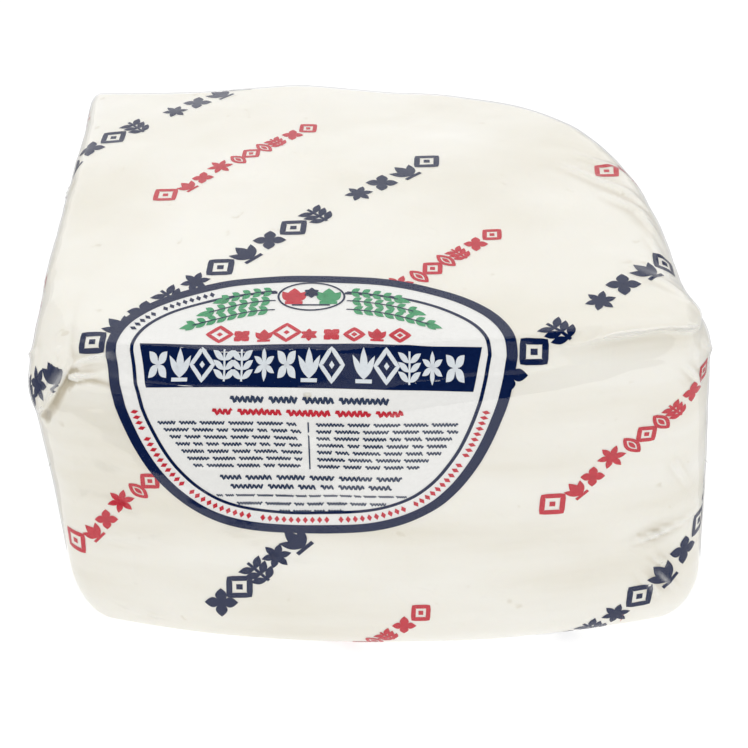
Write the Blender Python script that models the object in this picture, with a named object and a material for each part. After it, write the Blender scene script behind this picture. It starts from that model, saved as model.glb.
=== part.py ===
"""A block of mozzarella curd in a tight clear film bag, lying on its flat base.

The block is a rounded box whose walls bow, lean and skew a little, as soft curd does under
shrunk film. Each wall is a function that gives its surface, a fillet joins two walls, and
the skin is where a point lies neither inside nor outside all of them. The points of a cube
cut into a grid are pushed out from the middle of the block to that skin.

Units are metres, +Z is up, and the labelled front faces -Y. The origin is on the table
under the middle of the block.
"""

import bmesh
import bpy
import numpy as np

# Driving dimensions of the block, at its corners.
WIDTH = 0.2733  # along X
DEPTH = 0.2116  # along Y
HEIGHT = 0.148  # along Z

# How each wall departs from a flat one. A bow or a belly stands out, a hollow draws in,
# a flare or a lean moves the foot of the wall, and a skew turns the wall in plan.
FRONT_BOW = 0.0198
FRONT_HOLLOW = 0.0068
FRONT_FLARE = 0.007
FRONT_SKEW = -0.0072
BACK_BOW = 0.0043
BACK_BELLY = 0.0021
BACK_SKEW = -0.1068
LEFT_HOLLOW = 0.0011
LEFT_LEAN = 0.0118
LEFT_SKEW = -0.0095
RIGHT_HOLLOW = 0.0134
RIGHT_BELLY = 0.004
RIGHT_FLARE = 0.0084
TOP_CROWN = 0.0069
TOP_TILT = 0.0152  # how much higher the right edge lies than the left
TOP_TWIST = -0.0105  # how much less the back is tilted than the front

# The top swells at the back, and sags towards the front left corner, where the bag's ear
# is folded in.
BACK_SWELL = 0.0042
BACK_SWELL_X = -0.034
BACK_SWELL_REACH = 0.038
CORNER_SAG = 0.0087
CORNER_SAG_REACH = 0.0264

# Fillets between the walls.
BACK_RIGHT_RADIUS = 0.1475
BACK_RIGHT_POWER = 2.76  # a circle is 2, and a higher power is squarer
BACK_LEFT_RADIUS = 0.0065
FRONT_LEFT_RADIUS = 0.0158
FRONT_RIGHT_RADIUS = 0.0206
TOP_SIDE_RADIUS = 0.0096
TOP_FRONT_RADIUS = 0.0185
FOOT_RADIUS = 0.0266
FRONT_STRIP = 0.0164  # over which the top's fillet turns from one radius to the other

# The grid on the cube.
GRID_CUTS = 23  # cuts along each edge
CROWDING = 0.85  # 0 spaces the grid evenly, 1 crowds it hardest towards the cube's edges
BISECTIONS = 40
MIDDLE = np.array([0.0, 0.0, HEIGHT / 2])

CURD_COLOUR = (0.82, 0.79, 0.70, 1.0)


def clear_scene():
    for obj in list(bpy.data.objects):
        bpy.data.objects.remove(obj, do_unlink=True)


def bow(across):
    """A parabola: 1 at the middle of a wall, 0 at its two edges, where across is -1 and 1."""
    return 1 - across**2


def belly(height):
    """The same parabola over the height of a wall: 1 half-way up, 0 at the foot and the top."""
    return 4 * height * (1 - height)


def fillet(first, second, radius, power=2):
    """How far a point lies beyond two walls that meet in a round edge.

    Where the point is within a radius of both walls, its distance is measured from the
    circle between them, or from the squarer curve that a higher power gives. Elsewhere it
    is measured from the wall that the point is further beyond.
    """
    into_first = np.maximum(first + radius, 0)
    into_second = np.maximum(second + radius, 0)
    round_edge = (into_first**power + into_second**power) ** (1 / power) - radius
    in_corner = (into_first > 0) & (into_second > 0)
    return np.where(in_corner, round_edge, np.maximum(first, second))


def swelling(x, y, reach):
    """A low mound: 1 at the middle and fading away over its reach."""
    return np.exp(-(x**2 + y**2) / reach**2)


def beyond_skin(points):
    """How far each point lies outside the block, in metres, and less than 0 inside it."""
    x, y, z = points.T
    across = np.clip(2 * x / WIDTH, -1.3, 1.3)
    along = np.clip(2 * y / DEPTH, -1.3, 1.3)
    height = np.clip(z / HEIGHT, -0.2, 1.2)
    foot = 1 - height

    front_y = -DEPTH / 2 - FRONT_BOW * bow(across) + FRONT_HOLLOW * belly(height)
    front_y = front_y - FRONT_FLARE * foot + FRONT_SKEW * x
    back_y = DEPTH / 2 + BACK_BOW * bow(across) + BACK_BELLY * belly(height) + BACK_SKEW * x
    left_x = -WIDTH / 2 + LEFT_HOLLOW * bow(along) + LEFT_LEAN * foot + LEFT_SKEW * y
    right_x = WIDTH / 2 - RIGHT_HOLLOW * bow(along) + RIGHT_BELLY * belly(height) + RIGHT_FLARE * foot
    top_z = (
        HEIGHT
        + TOP_CROWN * bow(across) * bow(along)
        + TOP_TILT * x / WIDTH
        + TOP_TWIST * (x / WIDTH) * (y / DEPTH)
        + BACK_SWELL * swelling(x - BACK_SWELL_X, y - DEPTH / 2, BACK_SWELL_REACH)
        - CORNER_SAG * swelling(x + WIDTH / 2, y + DEPTH / 2, CORNER_SAG_REACH)
    )

    back_right = fillet(x - right_x, y - back_y, BACK_RIGHT_RADIUS, BACK_RIGHT_POWER)
    front_left = fillet(left_x - x, front_y - y, FRONT_LEFT_RADIUS)
    walls = fillet(back_right, front_left, np.where(x < 0, BACK_LEFT_RADIUS, FRONT_RIGHT_RADIUS))
    near_front = 1 / (1 + np.exp(np.clip((y + DEPTH / 4) / FRONT_STRIP, -30, 30)))
    top_radius = TOP_SIDE_RADIUS + (TOP_FRONT_RADIUS - TOP_SIDE_RADIUS) * near_front
    return fillet(fillet(walls, z - top_z, top_radius), -z, FOOT_RADIUS)


def crowded(steps):
    """Moves even steps from -1 to 1 towards both ends, by a stretch of a sine."""
    reach = CROWDING * np.pi / 2
    return np.sin(steps * reach) / np.sin(reach)


def share_inside(rays):
    """How far along each ray from the block's middle the skin lies, as a share of the ray.

    The stretch where the skin must be is halved again and again: its near end stays inside
    the skin and its far end outside.
    """
    near = np.full(len(rays), 0.2)
    far = np.full(len(rays), 2.0)
    for _ in range(BISECTIONS):
        share = (near + far) / 2
        within = beyond_skin(MIDDLE + rays * share[:, None]) < 0
        near = np.where(within, share, near)
        far = np.where(within, far, share)
    return far


def on_skin(cube_points):
    """The points of the skin that stand for the points of a cube from -1 to 1.

    In plan, the cube's square outline is first drawn in or out to the block's own outline at
    half its height, so that the cube's edges run along the block's rims. A ray from the
    middle through each point then meets the skin.
    """
    steps = crowded(cube_points)
    rays = steps * np.array([WIDTH, DEPTH, HEIGHT]) / 2
    ring = np.abs(steps[:, :2]).max(axis=1)  # 0 at the middle of the plan, 1 on the square
    to_square = rays * np.array([1, 1, 0]) / np.maximum(ring, 1e-9)[:, None]
    rays[:, :2] *= share_inside(to_square)[:, None]
    return MIDDLE + rays * share_inside(rays)[:, None]


def centred(points):
    """Moves the points so that their box stands on the plane z = 0 with its middle at x = y = 0."""
    low, high = points.min(axis=0), points.max(axis=0)
    middle = (low + high) / 2
    return points - np.array([middle[0], middle[1], low[2]])


def curd_material():
    material = bpy.data.materials.new("packed_curd")
    material.use_nodes = True
    shader = material.node_tree.nodes["Principled BSDF"]
    shader.inputs["Base Color"].default_value = CURD_COLOUR
    shader.inputs["Roughness"].default_value = 0.3
    shader.inputs["Metallic"].default_value = 0.0
    shader.inputs["Coat Weight"].default_value = 0.6
    shader.inputs["Coat Roughness"].default_value = 0.12
    material.diffuse_color = CURD_COLOUR
    return material


def make_pack(collection):
    """One closed solid: a cube cut into a grid, with its points set on the skin."""
    shape = bmesh.new()
    bmesh.ops.create_cube(shape, size=2)
    bmesh.ops.subdivide_edges(shape, edges=shape.edges[:], cuts=GRID_CUTS, use_grid_fill=True)
    cube_points = np.array([vertex.co[:] for vertex in shape.verts])
    for vertex, place in zip(shape.verts, centred(on_skin(cube_points))):
        vertex.co = place
    mesh = bpy.data.meshes.new("curd_pack")
    shape.to_mesh(mesh)
    shape.free()
    mesh.shade_smooth()
    mesh.materials.append(curd_material())
    pack = bpy.data.objects.new("curd_pack", mesh)
    collection.objects.link(pack)


def main():
    clear_scene()
    collection = bpy.data.collections.new("mozzarella_curd")
    bpy.context.scene.collection.children.link(collection)
    make_pack(collection)


main()
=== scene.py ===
# %% [markdown]
# # A block of mozzarella curd in shrink film
#
# A catering block of soft curd lies on a white table in a tight, clear, glossy bag. Rows of
# navy and red print run slantwise over the bag, and a big label bends over the front edge.
# Curd, print, label and film all follow one surface, each lifted a little further off it
# than the last. So the surface comes first, and the layers follow from the inside out.

import math

import bpy
import numpy as np
from mathutils import Matrix


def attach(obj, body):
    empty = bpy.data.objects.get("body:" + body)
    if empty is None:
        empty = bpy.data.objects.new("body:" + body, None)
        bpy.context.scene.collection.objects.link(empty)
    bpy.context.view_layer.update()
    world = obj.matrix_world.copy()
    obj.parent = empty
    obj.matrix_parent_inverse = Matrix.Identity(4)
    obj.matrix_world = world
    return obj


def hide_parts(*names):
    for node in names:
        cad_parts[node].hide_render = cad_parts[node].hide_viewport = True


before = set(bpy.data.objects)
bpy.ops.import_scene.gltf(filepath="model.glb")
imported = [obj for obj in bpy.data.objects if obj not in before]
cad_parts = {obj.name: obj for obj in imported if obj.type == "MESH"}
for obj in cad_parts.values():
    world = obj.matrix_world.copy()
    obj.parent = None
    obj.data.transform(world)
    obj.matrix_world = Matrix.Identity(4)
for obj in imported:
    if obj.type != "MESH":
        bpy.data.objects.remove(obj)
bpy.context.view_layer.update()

# %% [markdown]
# ## The block's form
#
# Real curd is cut to a box and then settles: its walls bow, one corner rounds off, and the
# top slopes. It could be sculpted, but a formula is easier to keep in step with the film and
# the print. Each wall is a function that says how far a point lies beyond it. Two walls
# are joined by a fillet, and the skin is where the result is 0.

# %% The block's dimensions, in metres
WIDTH, DEPTH, HEIGHT = 0.2733, 0.2116, 0.148
MIDDLE = np.array([0.0, 0.0, HEIGHT / 2])

FRONT_BOW, FRONT_HOLLOW, FRONT_FLARE, FRONT_SKEW = 0.0198, 0.0068, 0.007, -0.0072
BACK_BOW, BACK_BELLY, BACK_SKEW = 0.0043, 0.0021, -0.1068
LEFT_HOLLOW, LEFT_LEAN, LEFT_SKEW = 0.0011, 0.0118, -0.0095
RIGHT_HOLLOW, RIGHT_BELLY, RIGHT_FLARE = 0.0134, 0.004, 0.0084
TOP_CROWN, TOP_TILT, TOP_TWIST = 0.0069, 0.0152, -0.0105
BACK_SWELL, BACK_SWELL_X, BACK_SWELL_REACH = 0.0042, -0.034, 0.038
CORNER_SAG, CORNER_SAG_REACH = 0.0087, 0.0264

BACK_RIGHT_RADIUS, BACK_RIGHT_POWER = 0.1475, 2.76  # a circle is 2, a higher power is squarer
BACK_LEFT_RADIUS, FRONT_LEFT_RADIUS, FRONT_RIGHT_RADIUS = 0.0065, 0.0158, 0.0206
TOP_SIDE_RADIUS, TOP_FRONT_RADIUS, FOOT_RADIUS = 0.0096, 0.0185, 0.0266
FRONT_STRIP = 0.0164  # over which the top's fillet turns from one radius to the other
print("between its corners the block is", WIDTH, "x", DEPTH, "x", HEIGHT, "m")


# %% Curves that shape the walls
def bow(across):
    """A parabola: 1 at the middle of a wall, 0 at its two edges, where across is -1 and 1."""
    return 1 - across**2


def belly(height):
    """The same parabola over the height of a wall: 1 half-way up, 0 at the foot and the top."""
    return 4 * height * (1 - height)


def swelling(x, y, reach):
    """A low mound: 1 at the middle and fading away over its reach, as a bell curve does."""
    return np.exp(-(x**2 + y**2) / reach**2)


def fading(value, reach):
    """1 well below 0 and 0 well above it, with an S-shaped fall of about the reach between."""
    return 1 / (1 + np.exp(np.clip(value / reach, -30, 30)))


def fillet(first, second, radius, power=2):
    """How far a point lies beyond two walls that meet in a round edge.

    Within a radius of both walls, the distance is measured from the circle between them, or
    from the squarer curve of a higher power, and elsewhere from the wall it is further beyond.
    """
    into_first = np.maximum(first + radius, 0)
    into_second = np.maximum(second + radius, 0)
    round_edge = (into_first**power + into_second**power) ** (1 / power) - radius
    in_corner = (into_first > 0) & (into_second > 0)
    return np.where(in_corner, round_edge, np.maximum(first, second))


print("a 10 mm fillet takes", round(float(fillet(0, 0, 10)), 1), "mm off a square corner")

# %% How far a point lies beyond the skin
PAST_EDGE = 1.3  # how far out a wall's bow is followed, where its edge is at 1
BELOW_FOOT, ABOVE_TOP = -0.2, 1.2  # and how far down and up, where the foot is 0 and the top 1


def beyond_skin(points):
    """How far each point lies outside the block, in metres, and less than 0 inside it."""
    x, y, z = points[..., 0], points[..., 1], points[..., 2]
    across = np.clip(2 * x / WIDTH, -PAST_EDGE, PAST_EDGE)
    along = np.clip(2 * y / DEPTH, -PAST_EDGE, PAST_EDGE)
    height = np.clip(z / HEIGHT, BELOW_FOOT, ABOVE_TOP)
    foot = 1 - height
    front_y = -DEPTH / 2 - FRONT_BOW * bow(across) + FRONT_HOLLOW * belly(height)
    front_y = front_y - FRONT_FLARE * foot + FRONT_SKEW * x
    back_y = DEPTH / 2 + BACK_BOW * bow(across) + BACK_BELLY * belly(height) + BACK_SKEW * x
    left_x = -WIDTH / 2 + LEFT_HOLLOW * bow(along) + LEFT_LEAN * foot + LEFT_SKEW * y
    right_x = WIDTH / 2 - RIGHT_HOLLOW * bow(along) + RIGHT_BELLY * belly(height)
    right_x = right_x + RIGHT_FLARE * foot
    top_z = (
        HEIGHT
        + TOP_CROWN * bow(across) * bow(along)
        + TOP_TILT * x / WIDTH
        + TOP_TWIST * (x / WIDTH) * (y / DEPTH)
        + BACK_SWELL * swelling(x - BACK_SWELL_X, y - DEPTH / 2, BACK_SWELL_REACH)
        - CORNER_SAG * swelling(x + WIDTH / 2, y + DEPTH / 2, CORNER_SAG_REACH)
    )
    back_right = fillet(x - right_x, y - back_y, BACK_RIGHT_RADIUS, BACK_RIGHT_POWER)
    front_left = fillet(left_x - x, front_y - y, FRONT_LEFT_RADIUS)
    walls = fillet(back_right, front_left, np.where(x < 0, BACK_LEFT_RADIUS, FRONT_RIGHT_RADIUS))
    near_front = fading(y + DEPTH / 4, FRONT_STRIP)
    top_radius = TOP_SIDE_RADIUS + (TOP_FRONT_RADIUS - TOP_SIDE_RADIUS) * near_front
    return fillet(fillet(walls, z - top_z, top_radius), -z, FOOT_RADIUS)


def outward(points, nudge=0.0001):
    """The unit direction that leads straight out of the skin.

    It is the way in which beyond_skin grows fastest, from its values a tenth of a
    millimetre to either side along each axis.
    """
    growth = [beyond_skin(points + step) - beyond_skin(points - step) for step in np.eye(3) * nudge]
    growth = np.stack(growth, axis=-1)
    return growth / np.linalg.norm(growth, axis=-1, keepdims=True)


print("the middle lies", round(-1000 * float(beyond_skin(MIDDLE)), 1), "mm inside the skin")

# %% [markdown]
# ## Closed surfaces from a cube
#
# The curd and the film each need one closed surface. A sphere's grid would pinch at its
# poles, so the grid starts on a cube, and each point is pushed from the middle of the block
# to the skin by halving steps. Film puckers at the ends and along the front edge, so the
# grid's lines are packed closely there and lie further apart in the middle.

# %% From a cube to the skin
NEAR, FAR, HALVINGS = 0.2, 2.0, 34  # the shares of a ray between which the skin is looked for


def share_inside(rays, start=MIDDLE):
    """How far along each ray from its start the skin lies, as a share of the ray.

    The stretch where the skin must be is halved again and again: its near end stays inside
    the skin and its far end outside.
    """
    near, far = np.full(len(rays), NEAR), np.full(len(rays), FAR)
    for _ in range(HALVINGS):
        share = (near + far) / 2
        within = beyond_skin(start + rays * share[:, None]) < 0
        near = np.where(within, share, near)
        far = np.where(within, far, share)
    return far


def on_skin(cube_points):
    """The points of the skin that stand for the points of a cube from -1 to 1.

    In plan the cube's square is first drawn to the block's own outline at half its height,
    so the cube's edges run along the block's rims. Rays from the middle then meet the skin.
    """
    rays = cube_points * np.array([WIDTH, DEPTH, HEIGHT]) / 2
    ring = np.abs(cube_points[:, :2]).max(axis=1)
    to_square = rays * np.array([1, 1, 0]) / np.maximum(ring, 1e-9)[:, None]
    rays[:, :2] *= share_inside(to_square)[:, None]
    return MIDDLE + rays * share_inside(rays)[:, None]


print("halving finds the skin to", (FAR - NEAR) / 2**HALVINGS, "of a ray")

# %% The cube's grid
# For X, Y and Z: places from -1 to 1, and how many cells of the grid lie before each place.
GRID = (
    ([-1, -0.72, 0.60, 1], [0, 56, 112, 180]),
    ([-1, -0.45, 0.80, 1], [0, 72, 152, 176]),
    ([-1, -0.80, 0.30, 1], [0, 22, 72, 150]),
)


def cube_grid():
    """A closed cube: its points from -1 to 1, and its quads.

    Every side is a grid of whole numbers, so that the points two sides share are equal and
    np.unique can weld them. A side at the low end has its quads turned to face outwards.
    """
    cells = [counts[-1] for _, counts in GRID]
    points, quads, total = [], [], 0
    for axis in range(3):
        across, up = (axis + 1) % 3, (axis + 2) % 3
        first, second = np.indices((cells[across] + 1, cells[up] + 1))
        number = np.arange(first.size).reshape(first.shape)
        quad = [number[:-1, :-1], number[1:, :-1], number[1:, 1:], number[:-1, 1:]]
        quad = np.stack(quad, axis=-1).reshape(-1, 4)
        for level in (0, cells[axis]):
            side = np.full((first.size, 3), level)
            side[:, across] = first.ravel()
            side[:, up] = second.ravel()
            points.append(side)
            quads.append((quad if level else quad[:, ::-1]) + total)
            total += len(side)
    welded, index = np.unique(np.concatenate(points), axis=0, return_inverse=True)
    spaced = [np.interp(line, counts, places) for line, (places, counts) in zip(welded.T, GRID)]
    return np.stack(spaced, axis=-1), index.reshape(-1)[np.concatenate(quads)]


cube_points, cube_quads = cube_grid()
skin_points = on_skin(cube_points)
low, high = skin_points.min(axis=0), skin_points.max(axis=0)
CENTRE = np.array([(low[0] + high[0]) / 2, (low[1] + high[1]) / 2, low[2]])
print("block of", np.round((high - low) * 1000, 1), "mm, its middle at", np.round(CENTRE * 1000, 1))

# %% [markdown]
# ## Meshes and materials
#
# Every piece below is a plain array of points with four-cornered faces, so one helper makes
# them all. Numbers go into the mesh in one go with foreach_set, which is far quicker than a
# loop. Materials are node trees. One helper adds a node and fills or links its sockets, so
# that a material reads as a short list from its textures to its shader.


# %% Pieces from arrays
def make_piece(name, points, faces, material):
    """A smooth mesh object from arrays of points, in the block's own frame, and of quads."""
    faces = np.asarray(faces, np.int32)
    mesh = bpy.data.meshes.new(name)
    mesh.vertices.add(len(points))
    mesh.vertices.foreach_set("co", (points - CENTRE).astype(np.float32).ravel())
    mesh.loops.add(faces.size)
    mesh.loops.foreach_set("vertex_index", faces.ravel())
    mesh.polygons.add(len(faces))
    mesh.polygons.foreach_set("loop_start", np.arange(0, faces.size, 4, dtype=np.int32))
    mesh.update(calc_edges=True)
    mesh.validate()
    mesh.shade_smooth()
    mesh.materials.append(material)
    piece = bpy.data.objects.new(name, mesh)
    bpy.context.scene.collection.objects.link(piece)
    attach(piece, "root")
    print(f"{name}: {len(points)} points, {len(faces)} faces")
    return piece


def keep_values(piece, name, values):
    """Keeps one number for each point as an attribute, which the piece's material can read."""
    layer = piece.data.attributes.new(name, "FLOAT", "POINT")
    layer.data.foreach_set("value", values.ravel().astype(np.float32))


print("pieces are moved by", np.round(-CENTRE * 1000, 1), "mm, so the origin is under their middle")

# %% Materials from nodes
WHITE, BLACK = (1, 1, 1, 1), (0, 0, 0, 1)


def new_material(name):
    """A material without nodes yet, and its node tree."""
    material = bpy.data.materials.new(name)
    material.use_nodes = True
    material.node_tree.nodes.clear()
    return material, material.node_tree


def add(tree, kind, sockets=()):
    """A new node. Each of its sockets named here gets a value, or a link from another node."""
    node = tree.nodes.new("ShaderNode" + kind)
    for name, value in dict(sockets).items():
        if isinstance(value, bpy.types.NodeSocket):
            tree.links.new(value, node.inputs[name])
        else:
            node.inputs[name].default_value = value
    return node


def noise(tree, scale, detail, stretch=(1, 1, 1), distortion=0.0):
    """A noise texture on object coordinates, which are multiplied by stretch first."""
    place = add(tree, "TexCoord").outputs["Object"]
    mapping = add(tree, "Mapping", {"Vector": place, "Scale": stretch})
    texture = add(tree, "TexNoise", {
        "Vector": mapping.outputs["Vector"],
        "Scale": scale,
        "Detail": detail,
        "Distortion": distortion,
    })
    return texture.outputs["Fac"]


def ramp(tree, value, stops):
    """A colour ramp fed by a value, with its stops as (place, colour)."""
    node = add(tree, "ValToRGB", {"Fac": value})
    elements = node.color_ramp.elements
    elements[0].position, elements[0].color = stops[0]
    elements[1].position, elements[1].color = stops[-1]
    for place, colour in stops[1:-1]:
        elements.new(place).color = colour
    return node.outputs["Color"]


def painted(tree, name):
    """The numbers that keep_values left on the piece."""
    attribute = add(tree, "Attribute")
    attribute.attribute_name = name
    return attribute.outputs["Fac"]


def mixed(tree, share, first, second):
    """A colour between the first, where the share is 0, and the second, where it is 1."""
    node = add(tree, "Mix")
    node.data_type = "RGBA"
    tree.links.new(share, node.inputs["Factor"])
    tree.links.new(first, node.inputs["A"])
    node.inputs["B"].default_value = second
    return node.outputs["Result"]


def bump(tree, height, strength, distance, below=None):
    """Which way the surface faces over small bumps, on top of the bumps below, if any."""
    node = add(tree, "Bump", {"Height": height, "Strength": strength, "Distance": distance})
    if below is not None:
        tree.links.new(below, node.inputs["Normal"])
    return node.outputs["Normal"]


print("materials before the pack's own:", len(bpy.data.materials))

# %% [markdown]
# ## The front edge and the soft swell of the curd
#
# Soft curd swells and sinks a little, and shrink film pulls flat between high spots, so
# light runs over the front edge in facets. At its right end the edge isn't round: the top
# runs on to a sharp crest with a narrow fold of film on it. All of these forms are
# heights over the skin, worked out from where a point is and which way the skin faces there.
# They could be sculpted, but as formulas every layer gets the very same ones.


# %% Soft swells
def waves(points, count, length, seed):
    """Long smooth swells around 0: sine waves that run in random directions.

    Their sum is divided by the root of their count, which keeps it mostly within -1 and 1.
    """
    random = np.random.default_rng(seed)
    directions = random.normal(size=(count, 3))
    directions /= np.linalg.norm(directions, axis=1, keepdims=True)
    lengths = length * random.uniform(0.7, 1.5, count)
    phases = random.uniform(0, 2 * math.pi, count)
    total = np.zeros(points.shape[:-1])
    for direction, one_length, phase in zip(directions, lengths, phases):
        total += np.sin(2 * math.pi * points @ direction / one_length + phase)
    return total / math.sqrt(count)


def smooth_step(value, start, end):
    """0 up to start and 1 from end on, with an even S-shaped rise between them."""
    share = np.clip((value - start) / (end - start), 0, 1)
    return share * share * (3 - 2 * share)


sample = skin_points[::40]
sample_facing = outward(sample)
print("a swell of waves reaches", round(float(waves(sample, 10, 0.075, 3).max()), 2))

# %% The faceted edge
CREASES = np.radians([0, 26, 76, 94])  # the slopes of the front edge at which its facets meet
SOFTER = 0.0001  # a cut of about this depth is made less deep, which rounds the creases


def edge_slope(points, normals):
    """How far the skin is turned upwards, 0 on the front and a right angle on top.

    It wanders by a few degrees, so that what follows it doesn't run dead straight.
    """
    wander = 0.06 * waves(points, 6, 0.05, 21) + 0.03 * waves(points, 8, 0.018, 22)
    return np.arctan2(normals[..., 2], np.hypot(normals[..., 0], normals[..., 1])) + wander


def facets(slope):
    """How far flat facets cut the round edge off.

    A chord over an arc lies below the circle by radius x (1 - cos) in its middle.
    """
    index = np.clip(np.searchsorted(CREASES, slope) - 1, 0, len(CREASES) - 2)
    middle, half = (CREASES[1:] + CREASES[:-1]) / 2, (CREASES[1:] - CREASES[:-1]) / 2
    cut = TOP_FRONT_RADIUS * (np.cos(slope - middle[index]) - np.cos(half[index]))
    cut = np.maximum(cut, 0)
    return -(cut**2) / (cut + SOFTER)


deepest = facets(edge_slope(sample, sample_facing)).min()
print("the facets cut up to", round(-1000 * float(deepest), 1), "mm off the edge")

# %% The sharp end of the edge
SHARP_FROM, SHARP_TO = 0.062, 0.110  # from here to here in x the edge turns into a sharp one
SHARP_CREST, END_CREST = math.radians(53), math.radians(46)  # how far up the round edge it lies
END_FROM, END_TO = 0.088, 0.126  # from here to here in x the crest moves down to END_CREST
BULGE = 0.2  # how much of the cut is left where the steep side would cut into the round edge


def crest_slope(points):
    """The slope at which the sharp edge has its crest: it moves down towards the right end."""
    return SHARP_CREST + (END_CREST - SHARP_CREST) * smooth_step(points[..., 0], END_FROM, END_TO)


def sharp_edge(slope, crest_at):
    """The edge at the right: the top runs on flat to a crest, and a steep side drops from there.

    The top's plane lies radius x (1 / sin - 1) over the circle. The steep side is the line
    from the crest to the foot of the circle, whose distance from the centre is `near`.
    Where it would cut into the circle it is bulged out most of the way to it.
    """
    slope = np.clip(slope, 0, math.pi / 2)
    over_top = 1 / np.sin(np.maximum(slope, crest_at)) - 1
    lean = np.arctan2(1 - 1 / np.tan(crest_at), 1)
    near = np.cos(lean)
    down_side = near / np.cos(np.minimum(slope, crest_at) - lean) - 1
    down_side = np.where(down_side < 0, BULGE * down_side, down_side)
    return TOP_FRONT_RADIUS * np.where(slope > crest_at, over_top, down_side)


def sharpness(points):
    """0 where the front edge is round and faceted, and 1 where it is sharp."""
    return smooth_step(points[..., 0], SHARP_FROM, SHARP_TO)


crest_height = sharp_edge(SHARP_CREST, SHARP_CREST)
print("the crest stands", round(1000 * float(crest_height), 1), "mm over the round edge")

# %% The front edge as a whole
EDGE_BACK, EDGE_FADE = 0.07, 0.02  # how far to the front the edge's forms begin, and their fade
CORNER_FROM, CORNER_FADE = 0.80, 0.45  # how far a corner turns to the side before they end
LIP_HEIGHT, LIP_WIDTH = 0.0009, 0.0012  # the film's fold that stands on the sharp crest


def at_front_edge(points, normals):
    """1 along the front edge, fading away to the back and round the corners."""
    to_front = np.clip((-points[..., 1] - EDGE_BACK) / EDGE_FADE, 0, 1)
    return to_front * np.clip((CORNER_FROM - np.abs(normals[..., 0])) / CORNER_FADE, 0, 1)


def front_edge_form(points, normals):
    """The facets of the front edge, and its sharper form at the right."""
    slope = edge_slope(points, normals)
    blend = sharpness(points)
    rough = 1 + 0.12 * waves(points, 8, 0.014, 31)
    form = (1 - blend) * facets(slope) + blend * rough * sharp_edge(slope, crest_slope(points))
    return at_front_edge(points, normals) * form


def crest_lip(points, normals):
    """A narrow uneven fold of film on the sharp crest: a bell curve across it."""
    off_crest = (edge_slope(points, normals) - crest_slope(points)) * TOP_FRONT_RADIUS / LIP_WIDTH
    uneven = np.clip(0.85 + 0.25 * waves(points, 7, 0.016, 41), 0.3, 1.2)
    gate = at_front_edge(points, normals) * sharpness(points) ** 2
    return LIP_HEIGHT * uneven * gate * np.exp(-(off_crest**2))


def shared_relief(points, normals):
    """Soft swells of three lengths, which fade out at the foot, and the front edge's form."""
    swell = 0.00032 * waves(points, 10, 0.075, 3) + 0.00018 * waves(points, 12, 0.034, 8)
    swell = swell + 0.00008 * waves(points, 14, 0.014, 9)
    return swell * np.clip(points[..., 2] / 0.02, 0, 1) + front_edge_form(points, normals)


heights = 1000 * shared_relief(sample, sample_facing)
print("swells and edge: from", round(heights.min(), 1), "to", round(heights.max(), 1), "mm")

# %% [markdown]
# ## Folds
#
# Shrink film puckers where it has more area than the block: in bundles of short folds on the
# right rim and at the corners, and as a flap at the front left, where an ear of the bag is
# tucked in. Cloth simulation could find such folds, but not at chosen places. Here each fold
# is a straight line near the skin, and a curve over the distance from it gives its height.
# The soft curd is pressed into the folds, so the curd and the print have them too.

# %% Forms along a line
FLAP_START, FLAP_END = np.array([-0.1130, -0.1045, 0.1345]), np.array([-0.1300, -0.1005, 0.1055])
FLAP_SIDE = np.array([-0.86, 0.0, 0.5])  # the way from the flap's edge onto the flap
FLAP_HEIGHT, FLAP_FADE, FLAP_STEP = 0.0013, 0.016, 0.0003
HOLLOW_DEPTH, HOLLOW_REACH = 0.0027, 0.0030


def near_line(points, start, end):
    """Each point's distance from a straight line, and its place along it, 0 to 1."""
    line = end - start
    place = np.clip((points - start) @ line / (line @ line), 0, 1)
    distance = np.linalg.norm(points - start - place[..., None] * line, axis=-1)
    return distance, place


def crest(points, start, end, width, height):
    """A sharp crest along a line: it falls away evenly on both sides, as a folded sheet does."""
    distance, place = near_line(points, start, end)
    ends = np.sin(math.pi * np.clip(place, 0.02, 0.98)) ** 0.6
    return height * np.exp(-distance / width) * ends


def ridge(points, start, end, width, height):
    """A soft fold along a line: a bell curve across it, tapering to both ends."""
    distance, place = near_line(points, start, end)
    ends = np.sin(math.pi * np.clip(place, 0.03, 0.97)) ** 0.5
    return height * np.exp(-((distance / width) ** 2)) * ends


def past_flap(points):
    """How far points lie from the flap's edge and past it, and how near its middle they are."""
    distance, place = near_line(points, FLAP_START, FLAP_END)
    past = (points - FLAP_START) @ (FLAP_SIDE / np.linalg.norm(FLAP_SIDE))
    window = np.clip(np.minimum(place, 1 - place) / 0.15, 0, 1) ** 0.7
    return distance, past, window


def flap(points):
    """A step up onto the flap and a hollow in front of it, which both fade with distance."""
    distance, past, window = past_flap(points)
    on_flap = fading(-past, FLAP_STEP)
    rise = FLAP_HEIGHT * on_flap * np.exp(-distance / FLAP_FADE)
    return window * (rise - HOLLOW_DEPTH * (1 - on_flap) * np.exp(-distance / HOLLOW_REACH))


flap_length = np.linalg.norm(FLAP_END - FLAP_START)
print("the flap's edge is", round(1000 * float(flap_length), 1), "mm long")

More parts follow.
